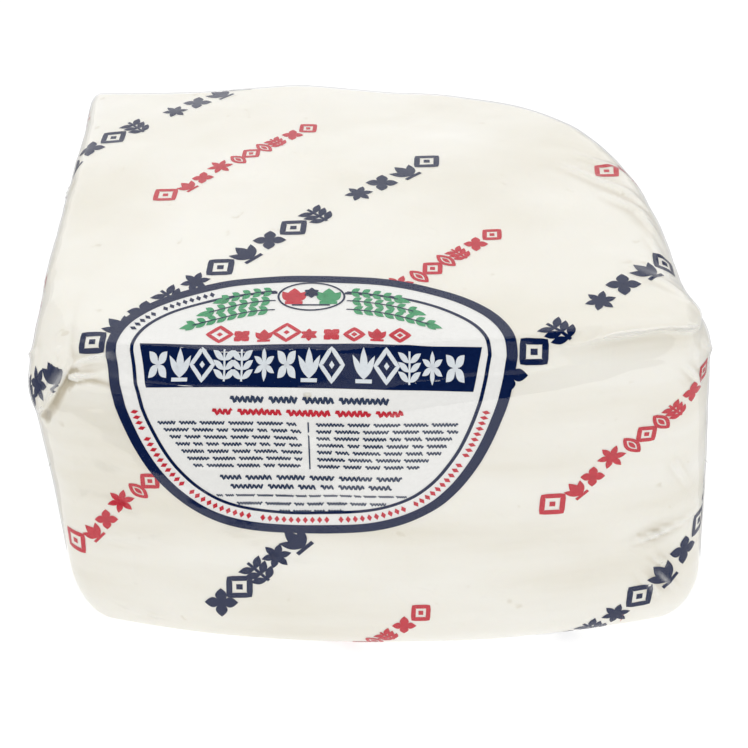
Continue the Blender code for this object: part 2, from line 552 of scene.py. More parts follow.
# %% The folds' places
# One fold a row, in millimetres: its start (x, y, z), its end (x, y, z), half width, height.
FOLDS = np.array([
    (-96, -101, 140.5, -114, -100.5, 134.5, 1.2, 0.8),
    (-104, -106, 132.5, -114, -104, 130.5, 1.0, 0.9),
    (84, 18, 158, 120, -16, 157, 2.2, 1.0),
    (92, 28, 158, 120, 6, 157, 1.9, 1.2),
    (98, 6, 158, 114, -8, 157, 1.8, 1.0),
    (100, -8, 158, 126, -34, 156, 2.1, 0.9),
    (112, -22, 157, 131, -60, 155, 2.0, 1.2),
    (116, -44, 157, 133, -86, 154, 1.9, 1.1),
    (104, -64, 157, 128, -86, 155, 2.0, 0.5),
    (112, -80, 155, 129, -93, 151, 1.6, 0.6),
    (106, -94, 154, 127, -105, 143, 1.6, 0.6),
    (118, -106, 146, 134, -103, 122, 1.3, 0.9),
    (122, -108, 140, 132, -104, 128, 1.2, 0.7),
    (98, -119, 50, 133, -103, 61, 1.2, 1.3),
    (104, -119, 52, 122, -112, 26, 1.4, 1.1),
    (112, -117, 50, 130, -108, 26, 1.2, 1.2),
    (118, -113, 46, 135, -101, 30, 1.1, 1.1),
    (96, -121, 40, 110, -118, 24, 1.4, 0.9),
    (124, -106, 90, 137, -96, 60, 1.4, 0.9),
    (-120, -105, 36, -104, -114, 26, 0.9, 0.8),
    (-118, -107, 29, -100, -116, 21, 0.9, 0.8),
    (-105, -112, 22, -86, -119, 17, 0.9, 0.6),
    (-100, -116, 88, -118, -109, 70, 2.0, 0.5),
    (-70, -122, 60, -112, -112, 52, 2.2, 0.5),
]) / 1000
# The same for sharp lines, which are valleys where their height is less than 0.
SHARP_LINES = np.array([
    (-112.5, -105, 131.5, -84, -113.5, 130, 2.0, -0.7),
    (-129, 108, 151, -130.5, -70, 146, 1.4, -0.5),
    (-113, -101, 136.5, -90, -103.5, 141, 1.8, 1.0),
]) / 1000
FAINTEST = 0.00002  # a fold lower than this is left out where it would fill a hollow


def film_folds(points):
    """The flap, then the highest fold at each point, and the sharp lines added on top."""
    total = flap(points)
    for row in FOLDS:
        fold = ridge(points, row[:3], row[3:6], row[6], row[7])
        total = np.where(fold > FAINTEST, np.maximum(total, fold), total)
    for row in SHARP_LINES:
        total = total + crest(points, row[:3], row[3:6], row[6], row[7])
    return total


print(len(FOLDS), "folds and", len(SHARP_LINES), "sharp lines")

# %% Creases at the ends
END_FRONT, END_BACK, END_SKEW, END_TOP = 0.106, 0.112, 0.10, 0.150  # the end walls' outline
FRONT_CREASE, BACK_CREASE = 0.074, 0.075  # how far in from the front and the back creases run
CREASE_HEIGHT, CREASE_WIDTH, CREASE_STOP = 0.0010, 0.0022, 0.002


def from_rims(points):
    """How far points on an end wall lie from its front, back, top and foot.

    The back wall is askew, so its place changes with x.
    """
    x, y, z = points[..., 0], points[..., 1], points[..., 2]
    return y + END_FRONT, END_BACK - END_SKEW * x - y, END_TOP - z, z


def end_creases(points, normals):
    """Creases on both end walls, at 45 degrees, where the film from two sides meets.

    A crease lies where a point is as far from an upright rim as from the top or the foot.
    In front of the middle they run in from the corners, and behind it they cross.
    """
    from_front, from_back, from_top, from_foot = from_rims(points)
    behind = points[..., 1] > 0
    total = np.zeros(points.shape[:-1])
    for upright, length in ((from_front, FRONT_CREASE), (from_back, BACK_CREASE)):
        window = fading(np.where(behind, length - upright, upright - length), CREASE_STOP)
        for level in (from_top, from_foot):
            total += window * np.exp(-np.abs(upright - level) / CREASE_WIDTH)
    on_end = np.clip((np.abs(normals[..., 0]) - 0.75) / 0.2, 0, 1)
    return CREASE_HEIGHT * on_end * total


creased = end_creases(sample, sample_facing) > CREASE_HEIGHT / 2
print("creases at the ends touch", int(creased.sum()), "of", len(sample), "sampled points")

# %% All forms together, and the layers over them
# How high each layer lies over the curd, far enough apart for their grids to stay clear.
PRINT, GROUND, INK, LEAVES, OVERPRINT, FILM = 0.00014, 0.00026, 0.00036, 0.00041, 0.00046, 0.00062
UNDERSIDE = 0.0008  # how high the curd's base lies over the table, so that film fits below it


def small_forms(points, normals, lip_share=1):
    """Everything narrow: folds, creases at the ends and the fold on the sharp crest."""
    lip = lip_share * crest_lip(points, normals)
    return film_folds(points) + end_creases(points, normals) + lip


def relief(points, normals):
    """All of the forms together: what every layer has over the plain skin."""
    return shared_relief(points, normals) + small_forms(points, normals)


def lifted(points, lift):
    """Points of the skin moved outwards by their relief and by the height of their layer.

    Underneath, they end at a level that lets every layer fit between the curd and the table.
    """
    normals = outward(points)
    raised = points + normals * (relief(points, normals) + lift)[..., None]
    raised[..., 2] = np.maximum(raised[..., 2], UNDERSIDE - lift)
    return raised


heights = 1000 * relief(sample, sample_facing)
print("relief: from", round(heights.min(), 1), "to", round(heights.max(), 1), "mm")

# %% [markdown]
# ## The curd
#
# Fresh curd is a warm white, a little see-through, with faint streaks where it was pressed
# and small pits. Subsurface light gives its softness, noise drawn out sideways gives the
# streaks, and a finer noise a few beige specks. Its own surface is hardly glossy, because
# the film does the shining. Where the film is folded in, shade is painted into the curd's
# colour: an attribute named hollow, which tells how deep each point lies among its
# neighbours, mixes a darker beige into the white there.

# %% How hollow the folds are, for the shade painted into them
NEIGHBOURS = 6
SLANTING = [0.31, 0.27, 0.91]  # any direction will do that hardly any of the skin faces
LIP_SHADE_SHARE = 0.5  # the crest's fold counts half, or it would darken the strip below it too much


def hollowness(points, reach):
    """How much lower each point lies than the skin around it, in metres, by its folds.

    The height of its folds is taken from the mean of six places a reach away on the skin.
    """
    normals = outward(points)
    sideways = np.cross(normals, SLANTING)
    sideways /= np.linalg.norm(sideways, axis=-1, keepdims=True)
    upwards = np.cross(normals, sideways)
    around = 0
    for angle in np.arange(NEIGHBOURS) * 2 * math.pi / NEIGHBOURS:
        near = points + reach * (math.cos(angle) * sideways + math.sin(angle) * upwards)
        near = near - normals * beyond_skin(near)[..., None]
        around = around + small_forms(near, outward(near), LIP_SHADE_SHARE) / NEIGHBOURS
    return around - small_forms(points, normals, LIP_SHADE_SHARE)


CLOSE, WIDE, WIDE_SHARE = 0.0022, 0.005, 0.6  # reaches to compare over, and the second's share
FULLY_HOLLOW, DEEPEST_PAINTED_SHADE, PAINTED_SHADE_FROM = 0.00055, 0.9, 0.012  # the last is a height in z
# Painted shade: how deep a point lies among its folds sets how much darker beige is mixed into the
# curd's white there, up to a cap, and none close to the foot.
depth = hollowness(skin_points, CLOSE) + hollowness(skin_points, WIDE) * WIDE_SHARE
on_show = skin_points[:, 2] > PAINTED_SHADE_FROM
hollow = np.clip(depth / FULLY_HOLLOW, 0, 1) * DEEPEST_PAINTED_SHADE * on_show
print("deepest hollow:", round(1000 * float(depth.max()), 2), "mm")
print("points tinted:", (hollow > 0.3).sum())

# %% Curd material
curd_look, tree = new_material("curd_white")
streak_stops = [
    (0.36, (0.82, 0.785, 0.685, 1)),
    (0.50, (0.87, 0.843, 0.76, 1)),
    (0.64, (0.90, 0.88, 0.81, 1)),
]
streaks = ramp(tree, noise(tree, 13, 6, stretch=(0.6, 0.9, 3.0)), streak_stops)
specks = ramp(tree, noise(tree, 130, 2), [(0.70, BLACK), (0.76, (0.35, 0.35, 0.35, 1))])
speckled = mixed(tree, specks, streaks, (0.62, 0.56, 0.43, 1))
# Painted shade in the folds: the white is mixed towards a darker beige by the hollow attribute.
fold_shaded_white = mixed(tree, painted(tree, "hollow"), speckled, (0.54, 0.48, 0.36, 1))
crumbs = ramp(tree, noise(tree, 38, 5, distortion=0.8), [(0.42, BLACK), (0.50, WHITE)])
crumb_bumps = bump(tree, crumbs, 0.24, 0.0006)
pits = bump(tree, noise(tree, 240, 4), 0.26, 0.0004, below=crumb_bumps)
curd_shader = add(tree, "BsdfPrincipled", {
    "Base Color": fold_shaded_white,
    "Roughness": 0.5,
    "Specular IOR Level": 0.2,
    "Subsurface Weight": 0.1,
    "Subsurface Radius": (1.0, 0.8, 0.5),
    "Subsurface Scale": 0.002,
    "Normal": pits,
})
add(tree, "OutputMaterial", {"Surface": curd_shader.outputs["BSDF"]})
print("curd_white:", len(tree.nodes), "nodes")

# %% Curd mesh
SPLIT_X = 0.066  # where the surfaces are cut in two, so that neither mesh grows too big


def wrap_block(name, lift, material, attribute, values):
    """The closed surface at a lift, as a left and a right piece that meet at SPLIT_X.

    The values, between 0 and 1 for each point, are kept as an attribute for the material.
    """
    raised = lifted(skin_points, lift)
    at_left = cube_points[cube_quads, 0].mean(axis=1) < SPLIT_X * 2 / WIDTH
    for side, quads in (("left", cube_quads[at_left]), ("right", cube_quads[~at_left])):
        used, faces = np.unique(quads, return_inverse=True)
        piece = make_piece(f"{name}_{side}", raised[used], faces.reshape(-1, 4), material)
        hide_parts("curd_pack")
        keep_values(piece, attribute, values[used])


wrap_block("curd", 0, curd_look, "hollow", hollow)

# %% [markdown]
# ## Unrolling the film
#
# Print is laid out on flat film and then wrapped, so it bends over edges just as the real
# print does. The flat film is X sideways and T back over the top, with T = 0 on the front
# edge. Walks over the skin in small even steps, each in a plane across X, give a table from
# flat film to space. It could be done with a UV map and an image, but a table lets the
# print be real shapes with clean edges.

# %% A walk over the skin
STEP = 0.001


def to_skin(points, across):
    """Points pulled back to the skin, without leaving their own planes square to across."""
    for _ in range(2):
        normal = outward(points)
        normal -= (normal * across).sum(axis=-1, keepdims=True) * across
        points = points - normal * (beyond_skin(points) / (normal**2).sum(axis=-1))[..., None]
    return points


def walk(start, across, count):
    """The places after 0 to count even steps over the skin, as an array (start, step, 3).

    Each walk stays in the plane square to its own `across`. It heads along the cross
    product of the skin's normal with across.
    """
    places = [start]
    for _ in range(count):
        heading = np.cross(outward(places[-1]), across)
        heading /= np.linalg.norm(heading, axis=-1, keepdims=True)
        places.append(to_skin(places[-1] + heading * STEP, across))
    return np.stack(places, axis=1)


print("each step is", 1000 * STEP, "mm long")

# %% The tables
EDGE_X, LINES = 0.112, 141  # the film is unrolled in lines between x = -EDGE_X and EDGE_X
BACK_REACH, FRONT_REACH, END_REACH = 500, 275, 110  # in steps

start_line = MIDDLE + np.linspace(-EDGE_X, EDGE_X, LINES)[:, None] * np.array([1.0, 0.0, 0.0])
edge_rays = np.zeros((LINES, 3)) + np.array([0.0, -DEPTH / 2, HEIGHT / 2])
front_edge = start_line + edge_rays * share_inside(edge_rays, start_line)[:, None]
sideways = np.zeros((LINES, 3)) + np.array([1.0, 0.0, 0.0])
over_top = walk(front_edge, sideways, BACK_REACH)
down_front = walk(front_edge, -sideways, FRONT_REACH)
wrap_table = np.concatenate([down_front[:, :0:-1], over_top], axis=1)


def end_table(side):
    """The film beyond x = side x EDGE_X: walks that go on outwards from the table's last line.

    Film from the top and the bottom keeps its place along Y, and film from the front and
    the back keeps its height, as flaps do when a parcel's end is folded.
    """
    last_line = wrap_table[-1 if side > 0 else 0]
    normal = outward(last_line)
    flat = np.abs(normal[:, 2]) > np.abs(normal[:, 1])
    facing = np.where(flat[:, None], [0.0, 0.0, 1.0], [0.0, 1.0, 0.0]) * np.sign(normal)
    across = side * np.cross(np.array([1.0, 0.0, 0.0]), facing)
    return walk(last_line, across, END_REACH)


right_table, left_table = end_table(1), end_table(-1)
print("unrolled film:", wrap_table.shape, "points, and at each end", right_table.shape)


# %% From flat film to space
def look_up(table, first, second):
    """A table's value between its entries, weighed by how near each of the four around is."""
    first = np.clip(first, 0, table.shape[0] - 1.001)
    second = np.clip(second, 0, table.shape[1] - 1.001)
    row, column = first.astype(int), second.astype(int)
    right, up = (first - row)[:, None], (second - column)[:, None]
    lower = table[row, column] * (1 - up) + table[row, column + 1] * up
    upper = table[row + 1, column] * (1 - up) + table[row + 1, column + 1] * up
    return lower * (1 - right) + upper * right


def wrapped(flat):
    """The skin's points for points (X, T) of the flat film."""
    x, t = flat[:, 0], flat[:, 1]
    column = t / STEP + FRONT_REACH
    row = (np.clip(x, -EDGE_X, EDGE_X) + EDGE_X) / (2 * EDGE_X) * (LINES - 1)
    points = look_up(wrap_table, row, column)
    past = (np.abs(x) - EDGE_X) / STEP
    for table, beyond in ((right_table, x > EDGE_X), (left_table, x < -EDGE_X)):
        points[beyond] = look_up(table, column[beyond], past[beyond])
    return points - outward(points) * beyond_skin(points)[:, None]


on_top = wrapped(np.array([[0.0, 0.1]]))[0] * 1000
print("the film 100 mm back from the front edge lies at", np.round(on_top), "mm")

# %% Print that is folded away
SEAM_TOP, SEAM_GAP = 0.01, 0.002  # where the film's two edges meet under the block
FLAP_COVER = 0.007  # how far in front of the flap's edge print is tucked in under it


def in_sight(flat, points):
    """Whether print at flat film (X, T), in metres, lies on the outer layer of the folded bag.

    At the ends the film from the front, the back, the top and the bottom meets in creases
    at 45 degrees, and top and bottom meet half-way up. Print past its own crease is hidden.
    Underneath, both edges of the film meet in the middle. At the front left corner, print
    that would lie just in front of the flap is tucked in under it.
    """
    column = np.clip(flat[:, 1] / STEP + FRONT_REACH, 0, wrap_table.shape[1] - 1).astype(int)
    last_line = np.where(flat[:, :1] > 0, wrap_table[-1][column], wrap_table[0][column])
    normal = outward(last_line)
    level = np.abs(normal[:, 2]) > np.abs(normal[:, 1])
    from_front, from_back, from_top, from_foot = from_rims(points)
    own_level = np.where(normal[:, 2] > 0, from_top, from_foot)
    own_upright = np.where(normal[:, 1] < 0, from_front, from_back)
    own = np.where(level, own_level, own_upright)
    other = np.where(level, np.minimum(from_front, from_back), np.minimum(from_top, from_foot))
    folded_under = (np.abs(flat[:, 0]) > EDGE_X) & ((own > other) | (level & (own > HEIGHT / 2)))
    past_seam = (points[:, 2] < SEAM_TOP) & (points[:, 1] * np.sign(flat[:, 1]) < SEAM_GAP)
    distance, past, window = past_flap(points)
    under_flap = (distance < FLAP_COVER) & (past < 0) & (window > 0)
    return ~(folded_under | past_seam | under_flap)


places = np.array([[-0.13, 0.0], [0.0, 0.0], [0.13, 0.1], [0.19, 0.1]])
print("of four places, in sight:", in_sight(places, wrapped(places)))

# %% [markdown]
# ## Marks
#
# Ink shapes are grids too. A stroke is a line with a width, and a blot is an outline filled
# from its middle. Every ornament is made from these two, in millimetres on flat film.


# %% Strokes and blots
def grid_faces(rows, columns, closed=False):
    """The quads of a grid of points, with its last column joined to its first if closed."""
    number = np.arange(rows * columns).reshape(rows, columns)
    if closed:
        number = np.concatenate([number, number[:, :1]], axis=1)
    quads = [number[:-1, :-1], number[:-1, 1:], number[1:, 1:], number[1:, :-1]]
    return np.stack(quads, axis=-1).reshape(-1, 4)


def stroke(path, width, closed=False, lanes=2):
    """A line of even width: each path point steps out to half the width on each side.

    The side is the path's direction, from the point before to the point after, turned by
    a right angle. The width is cut into lanes, so that a wide line can bend across.
    """
    ahead = np.roll(path, -1, axis=0) - np.roll(path, 1, axis=0)
    if not closed:
        ahead[0], ahead[-1] = path[1] - path[0], path[-1] - path[-2]
    side = np.stack([-ahead[:, 1], ahead[:, 0]], axis=-1)
    side /= np.linalg.norm(side, axis=1, keepdims=True)
    reach = np.linspace(0.5, -0.5, lanes + 1)[:, None, None] * width
    points = path[None] + side[None] * reach
    return points.reshape(-1, 2), grid_faces(lanes + 1, len(path), closed)


def blot(outline, rings):
    """A filled outline: copies of it, shrunk towards its middle in even rings."""
    middle = outline.mean(axis=0)
    share = np.linspace(1, 0.02, rings)[:, None, None]
    points = middle + (outline - middle)[None] * share
    return points.reshape(-1, 2), grid_faces(rings, len(outline), closed=True)


print("a closed stroke of 12 points has", len(grid_faces(3, 12, closed=True)), "quads")


# %% Outlines
def turn(count):
    """Even angles round a full turn."""
    return np.linspace(0, 2 * math.pi, count, endpoint=False)


def oval(width, height, middle=(0, 0), count=32):
    """An ellipse's outline: half the width times cos, half the height times sin."""
    angle = turn(count)
    return np.stack([np.cos(angle) * width / 2, np.sin(angle) * height / 2], axis=-1) + middle


def lozenge(width, height, middle=(0, 0), count=32):
    """A diamond's outline: an ellipse whose points are drawn in by |cos| + |sin|."""
    spread = np.abs(np.cos(turn(count))) + np.abs(np.sin(turn(count)))
    return oval(width, height, count=count) / spread[:, None] + middle


def leaf(start, end, width, count=16):
    """A leaf's outline between two points: its half width is a sine along it."""
    start, end = np.array(start, float), np.array(end, float)
    share = np.linspace(0, 1, count)
    line = end - start
    side = np.array([-line[1], line[0]]) / np.linalg.norm(line)
    half = np.sin(math.pi * share)[:, None] * width / 2 * side
    spine = start + share[:, None] * line
    return np.concatenate([spine + half, (spine - half)[-2:0:-1]])


print("a diamond has", len(lozenge(1, 1)), "points and a leaf", len(leaf((0, 0), (0, 1), 1)))

# %% [markdown]
# ## Ornaments
#
# The print is made of six small ornaments: a diamond, a flower, a stem with leaves, a bud, a
# star and a slim leaf. They could be drawn as curves and converted, but as arrays of points
# they can be wrapped round the block with all the rest. Each is made of strokes and blots,
# and stands in a box that is size high, on its base line at x = 0.


# %% Six ornaments
def diamond(size, weight):
    """A diamond's line round a small diamond."""
    ring = stroke(lozenge(size * 0.98, size * 0.92, (0, size / 2)), weight, closed=True)
    return [ring, blot(lozenge(weight * 1.5, weight * 1.5, (0, size / 2)), 4)]


def petals(size, count, first, reach, width, rings):
    """Leaves that run out from the middle of the box at even angles, from the first one on."""
    angles = turn(count) + first
    tips = np.stack([np.cos(angles) * reach, size / 2 + np.sin(angles) * reach], axis=-1)
    return [blot(leaf((0, size / 2), tip, width), rings) for tip in tips]


def flower(size, weight):
    """Four broad petals, on the slant, round a dot."""
    dot = blot(oval(weight * 1.4, weight * 1.4, (0, size / 2)), 3)
    return petals(size, 4, math.pi / 4, size * 0.56, weight * 2.0, 5) + [dot]


def star(size, weight):
    """Six slim rays round a dot."""
    dot = blot(oval(weight * 1.5, weight * 1.5, (0, size / 2)), 4)
    return petals(size, 6, math.pi / 2, size / 2, weight * 1.25, 4) + [dot]


def stem(size, weight):
    """An upright line with three pairs of leaves."""
    path = np.stack([np.zeros(12), np.linspace(0, size * 0.96, 12)], axis=-1)
    pairs = [
        blot(leaf((0, size * low), (side * size * 0.49, size * (low + 0.30)), weight * 1.35), 4)
        for low in (0.06, 0.34, 0.62)
        for side in (-1, 1)
    ]
    return [stroke(path, weight * 0.55)] + pairs


def bud(size, weight):
    """An upright leaf between two that lean out, over a short bar."""
    middle = blot(leaf((0, size * 0.12), (0, size), weight * 2.1), 6)
    across = np.linspace(-size * 0.35, size * 0.35, 8)
    foot = stroke(np.stack([across, np.full(8, weight * 0.35)], axis=-1), weight * 0.7)
    sides = [
        blot(leaf((0, size * 0.1), (side * size * 0.475, size * 0.78), weight * 1.6), 5)
        for side in (-1, 1)
    ]
    return [middle, foot] + sides


def slim_leaf(size, weight):
    """A leaf's line round a slimmer leaf."""
    line = stroke(leaf((0, 0), (0, size), size * 0.5, 20), weight * 0.8, closed=True)
    return [line, blot(leaf((0, size * 0.25), (0, size * 0.75), weight), 4)]


ORNAMENTS = (diamond, flower, stem, bud, star, slim_leaf)
counts = [sum(len(faces) for _, faces in shape(10, 2)) for shape in ORNAMENTS]
print("faces of the six ornaments:", counts)


# %% Marks moved and joined
def placed(marks, x, t, turned=np.eye(2), narrowed=1.0):
    """Marks narrowed, moved to a place on the flat film, and then turned round its origin."""
    return [((points * [narrowed, 1] + [x, t]) @ turned, faces) for points, faces in marks]


def gather(marks):
    """Many marks as one: their points in one array and their faces renumbered."""
    counts = np.cumsum([0] + [len(points) for points, _ in marks[:-1]])
    points = np.concatenate([points for points, _ in marks])
    faces = np.concatenate([faces + count for (_, faces), count in zip(marks, counts)])
    return points, faces


print("a bud is", len(bud(10, 2)), "marks, and", len(gather(bud(10, 2))[0]), "points once joined")

# %% [markdown]
# ## Ink on the film
#
# Printed ink lies under the film's outer face, so it needs no gloss of its own. Flat ink
# isn't quite even: a little noise makes it mottle as a flexographic print does. It could be
# painted on the curd by an image, but as thin meshes between curd and film the marks have
# clean edges, and sit at the right depth under the shine.


# %% Ink material and printing
def ink(name, colour, darker):
    """A matt ink whose colour wanders slightly between two shades."""
    material, tree = new_material(name)
    shade = ramp(tree, noise(tree, 700, 3), [(0.35, (*darker, 1)), (0.65, (*colour, 1))])
    sockets = {"Base Color": shade, "Roughness": 0.5, "Specular IOR Level": 0.0}
    shader = add(tree, "BsdfPrincipled", sockets)
    add(tree, "OutputMaterial", {"Surface": shader.outputs["BSDF"]})
    return material


navy_ink = ink("navy_ink", (0.0028, 0.012, 0.062), (0.002, 0.009, 0.052))
red_ink = ink("red_ink", (0.60, 0.035, 0.055), (0.52, 0.028, 0.045))
green_ink = ink("green_ink", (0.07, 0.36, 0.16), (0.055, 0.30, 0.13))
white_ink = ink("white_ink", (0.875, 0.87, 0.845), (0.845, 0.84, 0.815))
band_white = ink("band_white", (0.74, 0.78, 0.81), (0.70, 0.74, 0.77))
text_ink = ink("text_ink", (0.05, 0.07, 0.12), (0.035, 0.05, 0.10))


def printed(name, marks, lift, material):
    """Marks in millimetres (X, T) of flat film, wrapped round the block as one thin piece."""
    flat, faces = gather(marks)
    skin = wrapped(flat / 1000)
    faces = faces[in_sight(flat / 1000, skin)[faces].all(axis=1)]
    used, faces = np.unique(faces, return_inverse=True)
    make_piece(name, lifted(skin[used], lift), faces.reshape(-1, 4)[:, ::-1], material)


print(len(bpy.data.materials), "materials, six of them inks")

# %% [markdown]
# ## Rows of print
#
# The rows run at 45 degrees over the flat film, navy and red by turns, 61 mm apart. A row
# repeats its groups of bold ornaments. An Array modifier could repeat them too, but a loop
# lets each row start at its own place. Where the label lies over them the rows are cut
# away, because the film bends so sharply there that they could come through it.

# %% Groups of ornaments
ROW_ANGLE = math.radians(44.8)
ROW_PITCH = 122.1  # between rows of one colour, in millimetres
NAVY_REPEAT, RED_REPEAT = 394.0, 157.7
NAVY_HEIGHT, NAVY_WEIGHT = 12.6, 2.5
RED_HEIGHT, RED_SMALL, RED_WEIGHT, RED_THIN = 12.1, 9.0, 2.2, 1.87

# Each group is (place along the row, distance from one to the next, their ornaments).
NAVY_GROUPS = (
    (-151.0, 11.1, (flower, diamond, stem, star, bud)),
    (-83.4, 13.3, (diamond, bud, flower, stem, star, diamond, bud, flower, diamond, stem)),
    (60.7, 13.7, (star, flower, bud, diamond)),
)
RED_PLACES = (6, 17.2, 26.2, 37.6, 47.0, 54.6, 62.3, 69.6, 79.6, 89.2)
RED_SHAPES = (diamond, bud, flower, star, slim_leaf, diamond, slim_leaf, stem, flower, diamond)
RED_LARGE = (0, 3)  # which of the ten are the large ones

navy_row = []
for first, step, shapes in NAVY_GROUPS:
    for item, shape in enumerate(shapes):
        navy_row += placed(shape(NAVY_HEIGHT, NAVY_WEIGHT), first + step * item, 0)
red_row = []
for item, (place, shape) in enumerate(zip(RED_PLACES, RED_SHAPES)):
    large = item in RED_LARGE
    size, weight = (RED_HEIGHT, RED_WEIGHT) if large else (RED_SMALL, RED_THIN)
    red_row += placed(shape(size, weight), place, 0)
print("marks in one stretch:", len(navy_row), "navy and", len(red_row), "red")

# %% What the film and the label leave of them
LABEL_X, LABEL_WAIST = -20.6, -5.0  # the middle, and the T where the label is widest
LABEL_HALF, LABEL_RISE, LABEL_DROP = 79.0, 45.8, 85.3
UPPER_POWER, LOWER_POWER, TAPER = 2.2, 3.0, 0.17
WELL_INSIDE = 0.955  # rows are cut along the label's outline shrunk to this, under its border
FILM_SIDE, FILM_FRONT, FILM_BACK = 200, -270, 495  # how far the unrolled film reaches, in mm


def inside_film(marks):
    """The marks that lie on the unrolled film at all."""
    x, t = np.array([points.mean(axis=0) for points, _ in marks]).T
    on_film = (np.abs(x) < FILM_SIDE) & (FILM_FRONT < t) & (t < FILM_BACK)
    return [mark for mark, kept in zip(marks, on_film) if kept]


def under_label(points):
    """Whether each point of flat film lies well inside the label's outline."""
    up = points[:, 1] - LABEL_WAIST
    rise = np.abs(np.where(up > 0, up / LABEL_RISE, up / LABEL_DROP))
    half = LABEL_HALF * (1 - TAPER * np.where(up > 0, 0, rise))
    power = np.where(up > 0, UPPER_POWER, LOWER_POWER)
    return (np.abs(points[:, 0] - LABEL_X) / half) ** power + rise**power < WELL_INSIDE**power


def clear_of_label(marks):
    """The marks without the faces that the label covers."""
    shown = [~under_label(points)[faces].all(axis=1) for points, faces in marks]
    return [(points, faces[seen]) for (points, faces), seen in zip(marks, shown) if seen.any()]


print("the label is", 2 * LABEL_HALF, "mm wide and", round(LABEL_RISE + LABEL_DROP), "mm high")

# %% The rows
NAVY_STARTS, NAVY_START = {-2: 10.0, -1: 20.8, 0: 8.7, 1: 4.8}, 9.0  # where each row starts
RED_STARTS, RED_START = {-1: -6.3, 0: -2.8, 1: 6.5}, -1.0
NAVY_BASE, RED_BASE = 68.3, 9.2  # the base lines of the rows that are number 0
COS, SIN = math.cos(ROW_ANGLE), math.sin(ROW_ANGLE)
SLANT = np.array([[COS, SIN], [-SIN, COS]])

navy_marks, red_marks = [], []
for row in range(-4, 6):
    navy_start, red_start = NAVY_STARTS.get(row, NAVY_START), RED_STARTS.get(row, RED_START)
    navy_t, red_t = NAVY_BASE + row * ROW_PITCH, RED_BASE + row * ROW_PITCH
    for repeat in range(-2, 3):
        navy_marks += placed(navy_row, navy_start + repeat * NAVY_REPEAT, navy_t, SLANT)
        red_marks += placed(red_row, red_start + repeat * RED_REPEAT, red_t, SLANT)
printed("navy_rows", clear_of_label(inside_film(navy_marks)), PRINT, navy_ink)
printed("red_rows", clear_of_label(inside_film(red_marks)), PRINT, red_ink)

# %% [markdown]
# ## The label
#
# The label is printed on the film as well: a white shield with a navy border and a thin
# inner line, a navy band over the front edge, an oval device between leaves above it, and
# fine lines below it. It could be one mesh with a material for each colour, but thin layers
# one over the other, from the white ground up, keep each shape simple. The border has many
# lanes, so that it bends with the film where the edge is sharp.


# %% The label's outline
def label_outline(inset, count):
    """A shield: a wide oval above its waist, and below it a squarer one with slanted sides.

    Both halves are |x|^n + |t|^n = 1 with their own power n, and below the waist the width
    also shrinks evenly. The outline is then drawn in by inset along its normals, and its
    points are spaced evenly along it.
    """
    angle = np.linspace(0, 2 * math.pi, 1440)
    across, up = np.cos(angle), np.sin(angle)
    power = np.where(up > 0, UPPER_POWER, LOWER_POWER)
    size = (np.abs(across) ** power + np.abs(up) ** power) ** (-1 / power)
    taper = 1 - TAPER * np.maximum(-up * size, 0)
    x = LABEL_X + across * size * taper * LABEL_HALF
    t = LABEL_WAIST + up * size * np.where(up > 0, LABEL_RISE, LABEL_DROP)
    way = np.stack([np.gradient(x), np.gradient(t)], axis=-1)
    way /= np.linalg.norm(way, axis=1, keepdims=True)
    x, t = x - way[:, 1] * inset, t + way[:, 0] * inset
    reached = np.concatenate([[0], np.cumsum(np.hypot(np.diff(x), np.diff(t)))])
    even = np.linspace(0, reached[-1], count, endpoint=False)
    return np.stack([np.interp(even, reached, x), np.interp(even, reached, t)], axis=-1)


printed("label_white", [blot(label_outline(0.3, 440), 120)], GROUND, white_ink)

# %% Its border and inner line
BORDER_WIDTH, LINE_WIDTH, LINE_INSET = 4.2, 1.4, 10.5
DEVICE, DEVICE_WIDTH, DEVICE_HEIGHT = (LABEL_X, 27.5), 26, 17
inner_line = label_outline(LINE_INSET, 440)
behind_device = (np.abs(inner_line[:, 0] - LABEL_X) < DEVICE_WIDTH / 2) & (inner_line[:, 1] > 0)
past_device = np.nonzero(behind_device)[0][-1] + 1
inner_line = np.roll(inner_line, -past_device, axis=0)[: -behind_device.sum()]
border = stroke(label_outline(BORDER_WIDTH / 2, 480), BORDER_WIDTH, closed=True, lanes=8)
printed("label_border", [border, stroke(inner_line, LINE_WIDTH, lanes=3)], INK, navy_ink)
print("the inner line is cut at", behind_device.sum(), "points, behind the device")

# %% The navy band and its ornaments
BAND_LOW, BAND_HIGH, BAND_LEFT, BAND_RIGHT = -19.4, -1.0, -86.0, 45.0
BAND_SLANT, BAND_ROWS, BAND_COLUMNS = 1.6, 17, 120


def band():
    """The band over the front edge: a grid with ends that slant inwards to its foot."""
    up = np.linspace(-1, 1, BAND_ROWS)[:, None]
    slant = BAND_SLANT * (1 - up)
    left, right = BAND_LEFT + slant, BAND_RIGHT - slant
    x = left + (right - left) * np.linspace(0, 1, BAND_COLUMNS)[None]
    t = (BAND_LOW + BAND_HIGH) / 2 + up * (BAND_HIGH - BAND_LOW) / 2 + 0 * x
    points = np.stack([x, t], axis=-1).reshape(-1, 2)
    return points, grid_faces(BAND_ROWS, BAND_COLUMNS)[:, ::-1]


printed("label_band", [band()], INK, navy_ink)

BAND_SIZE, BAND_WEIGHT, BAND_PITCH, BAND_MARGIN, NARROWED = 14.2, 2.2, 8.6, 2.2, 0.62
band_marks = []
for group, first, count in ((0, -78.5, 4), (1, -46.0, 5), (2, 0.5, 5)):
    for item in range(count):
        marks = ORNAMENTS[(item * 2 + group + 1) % 5](BAND_SIZE, BAND_WEIGHT)
        x, t = first + item * BAND_PITCH, BAND_LOW + BAND_MARGIN
        band_marks += placed(marks, x, t, narrowed=NARROWED)
printed("band_ornaments", band_marks, OVERPRINT, band_white)


